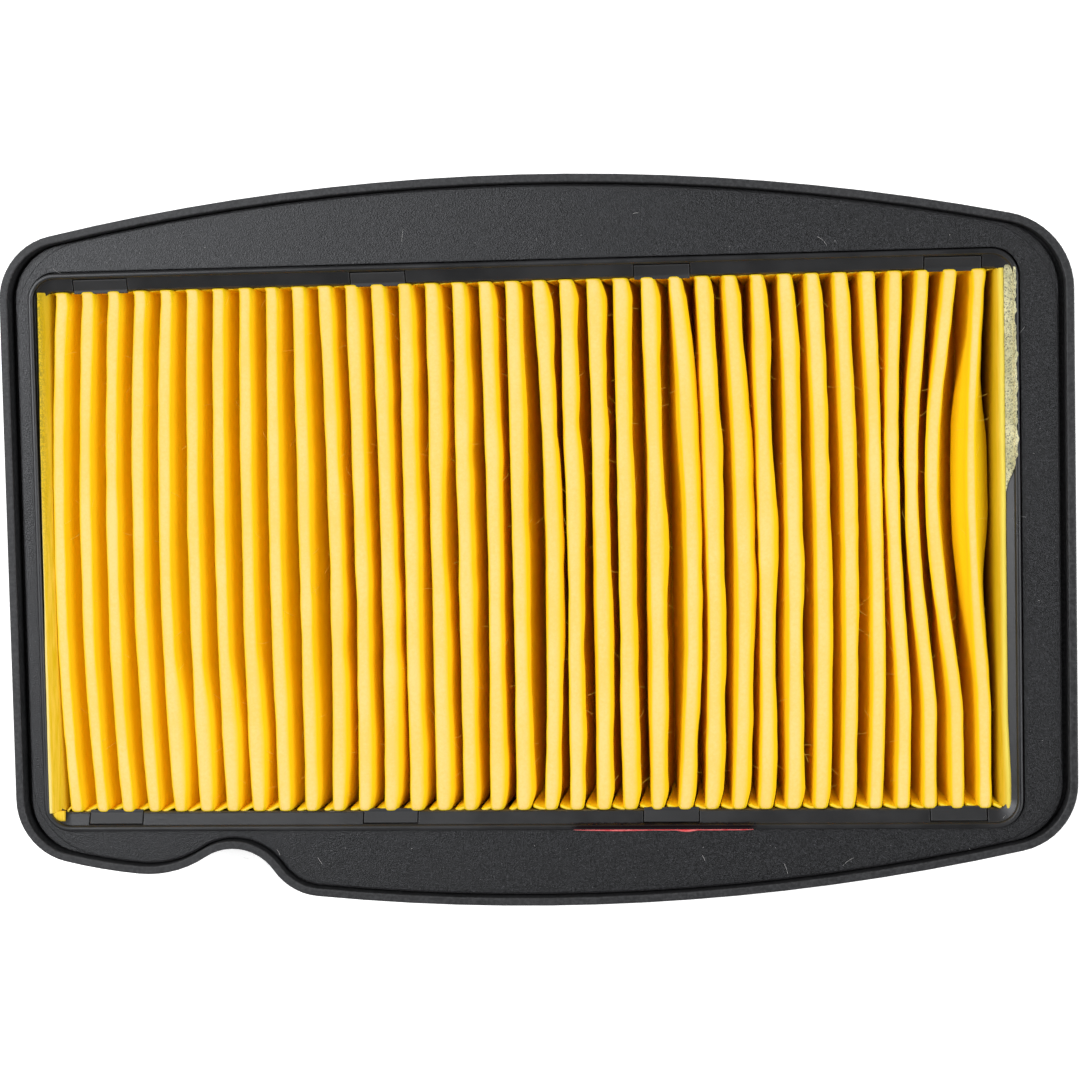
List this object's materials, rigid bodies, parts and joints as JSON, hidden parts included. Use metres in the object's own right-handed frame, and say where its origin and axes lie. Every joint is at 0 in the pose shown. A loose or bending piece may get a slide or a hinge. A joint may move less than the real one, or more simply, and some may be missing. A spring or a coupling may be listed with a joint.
{
  "type": "motorcycle air filter",
  "caption": "Flat panel air filter with a rubber-edged flange, a notched outline and yellow pleated felt in a clip-in tray.",
  "frame": {"origin": "under the middle of the outline, on the plane that the tray's clean side stands on", "axes": "+X along the long side, +Y towards the long side without the notch, +Z towards the dirty side, the one with the rim and the pleats' open ridges"},
  "size_m": [0.1958, 0.1336, 0.028],
  "materials": {
    "plate_plastic": "spark-eroded matte",
    "seal_rubber": "matte, finely ribbed",
    "bezel_plastic": "smooth satin",
    "tray_plastic": "satin",
    "filter_felt": "fine felt, lightly oiled",
    "strip_felt": "fine felt, glue-soaked",
    "adhesive": "cured, translucent brown",
    "foamed_adhesive": "foamed, granular",
    "marking_paint": "brushed-on paint"
  },
  "bodies": {
    "root": {"flange_plate": "plate_plastic", "perimeter_seal": "seal_rubber", "window_bezel": "bezel_plastic", "element_tray": "tray_plastic", "pleated_media": "filter_felt", "end_strip_rear": "strip_felt", "end_strip_front": "strip_felt", "adhesive_rear": "adhesive", "adhesive_front": "adhesive", "adhesive_squeeze_out": "foamed_adhesive", "inspection_mark": "marking_paint"}
  },
  "joints": []
}
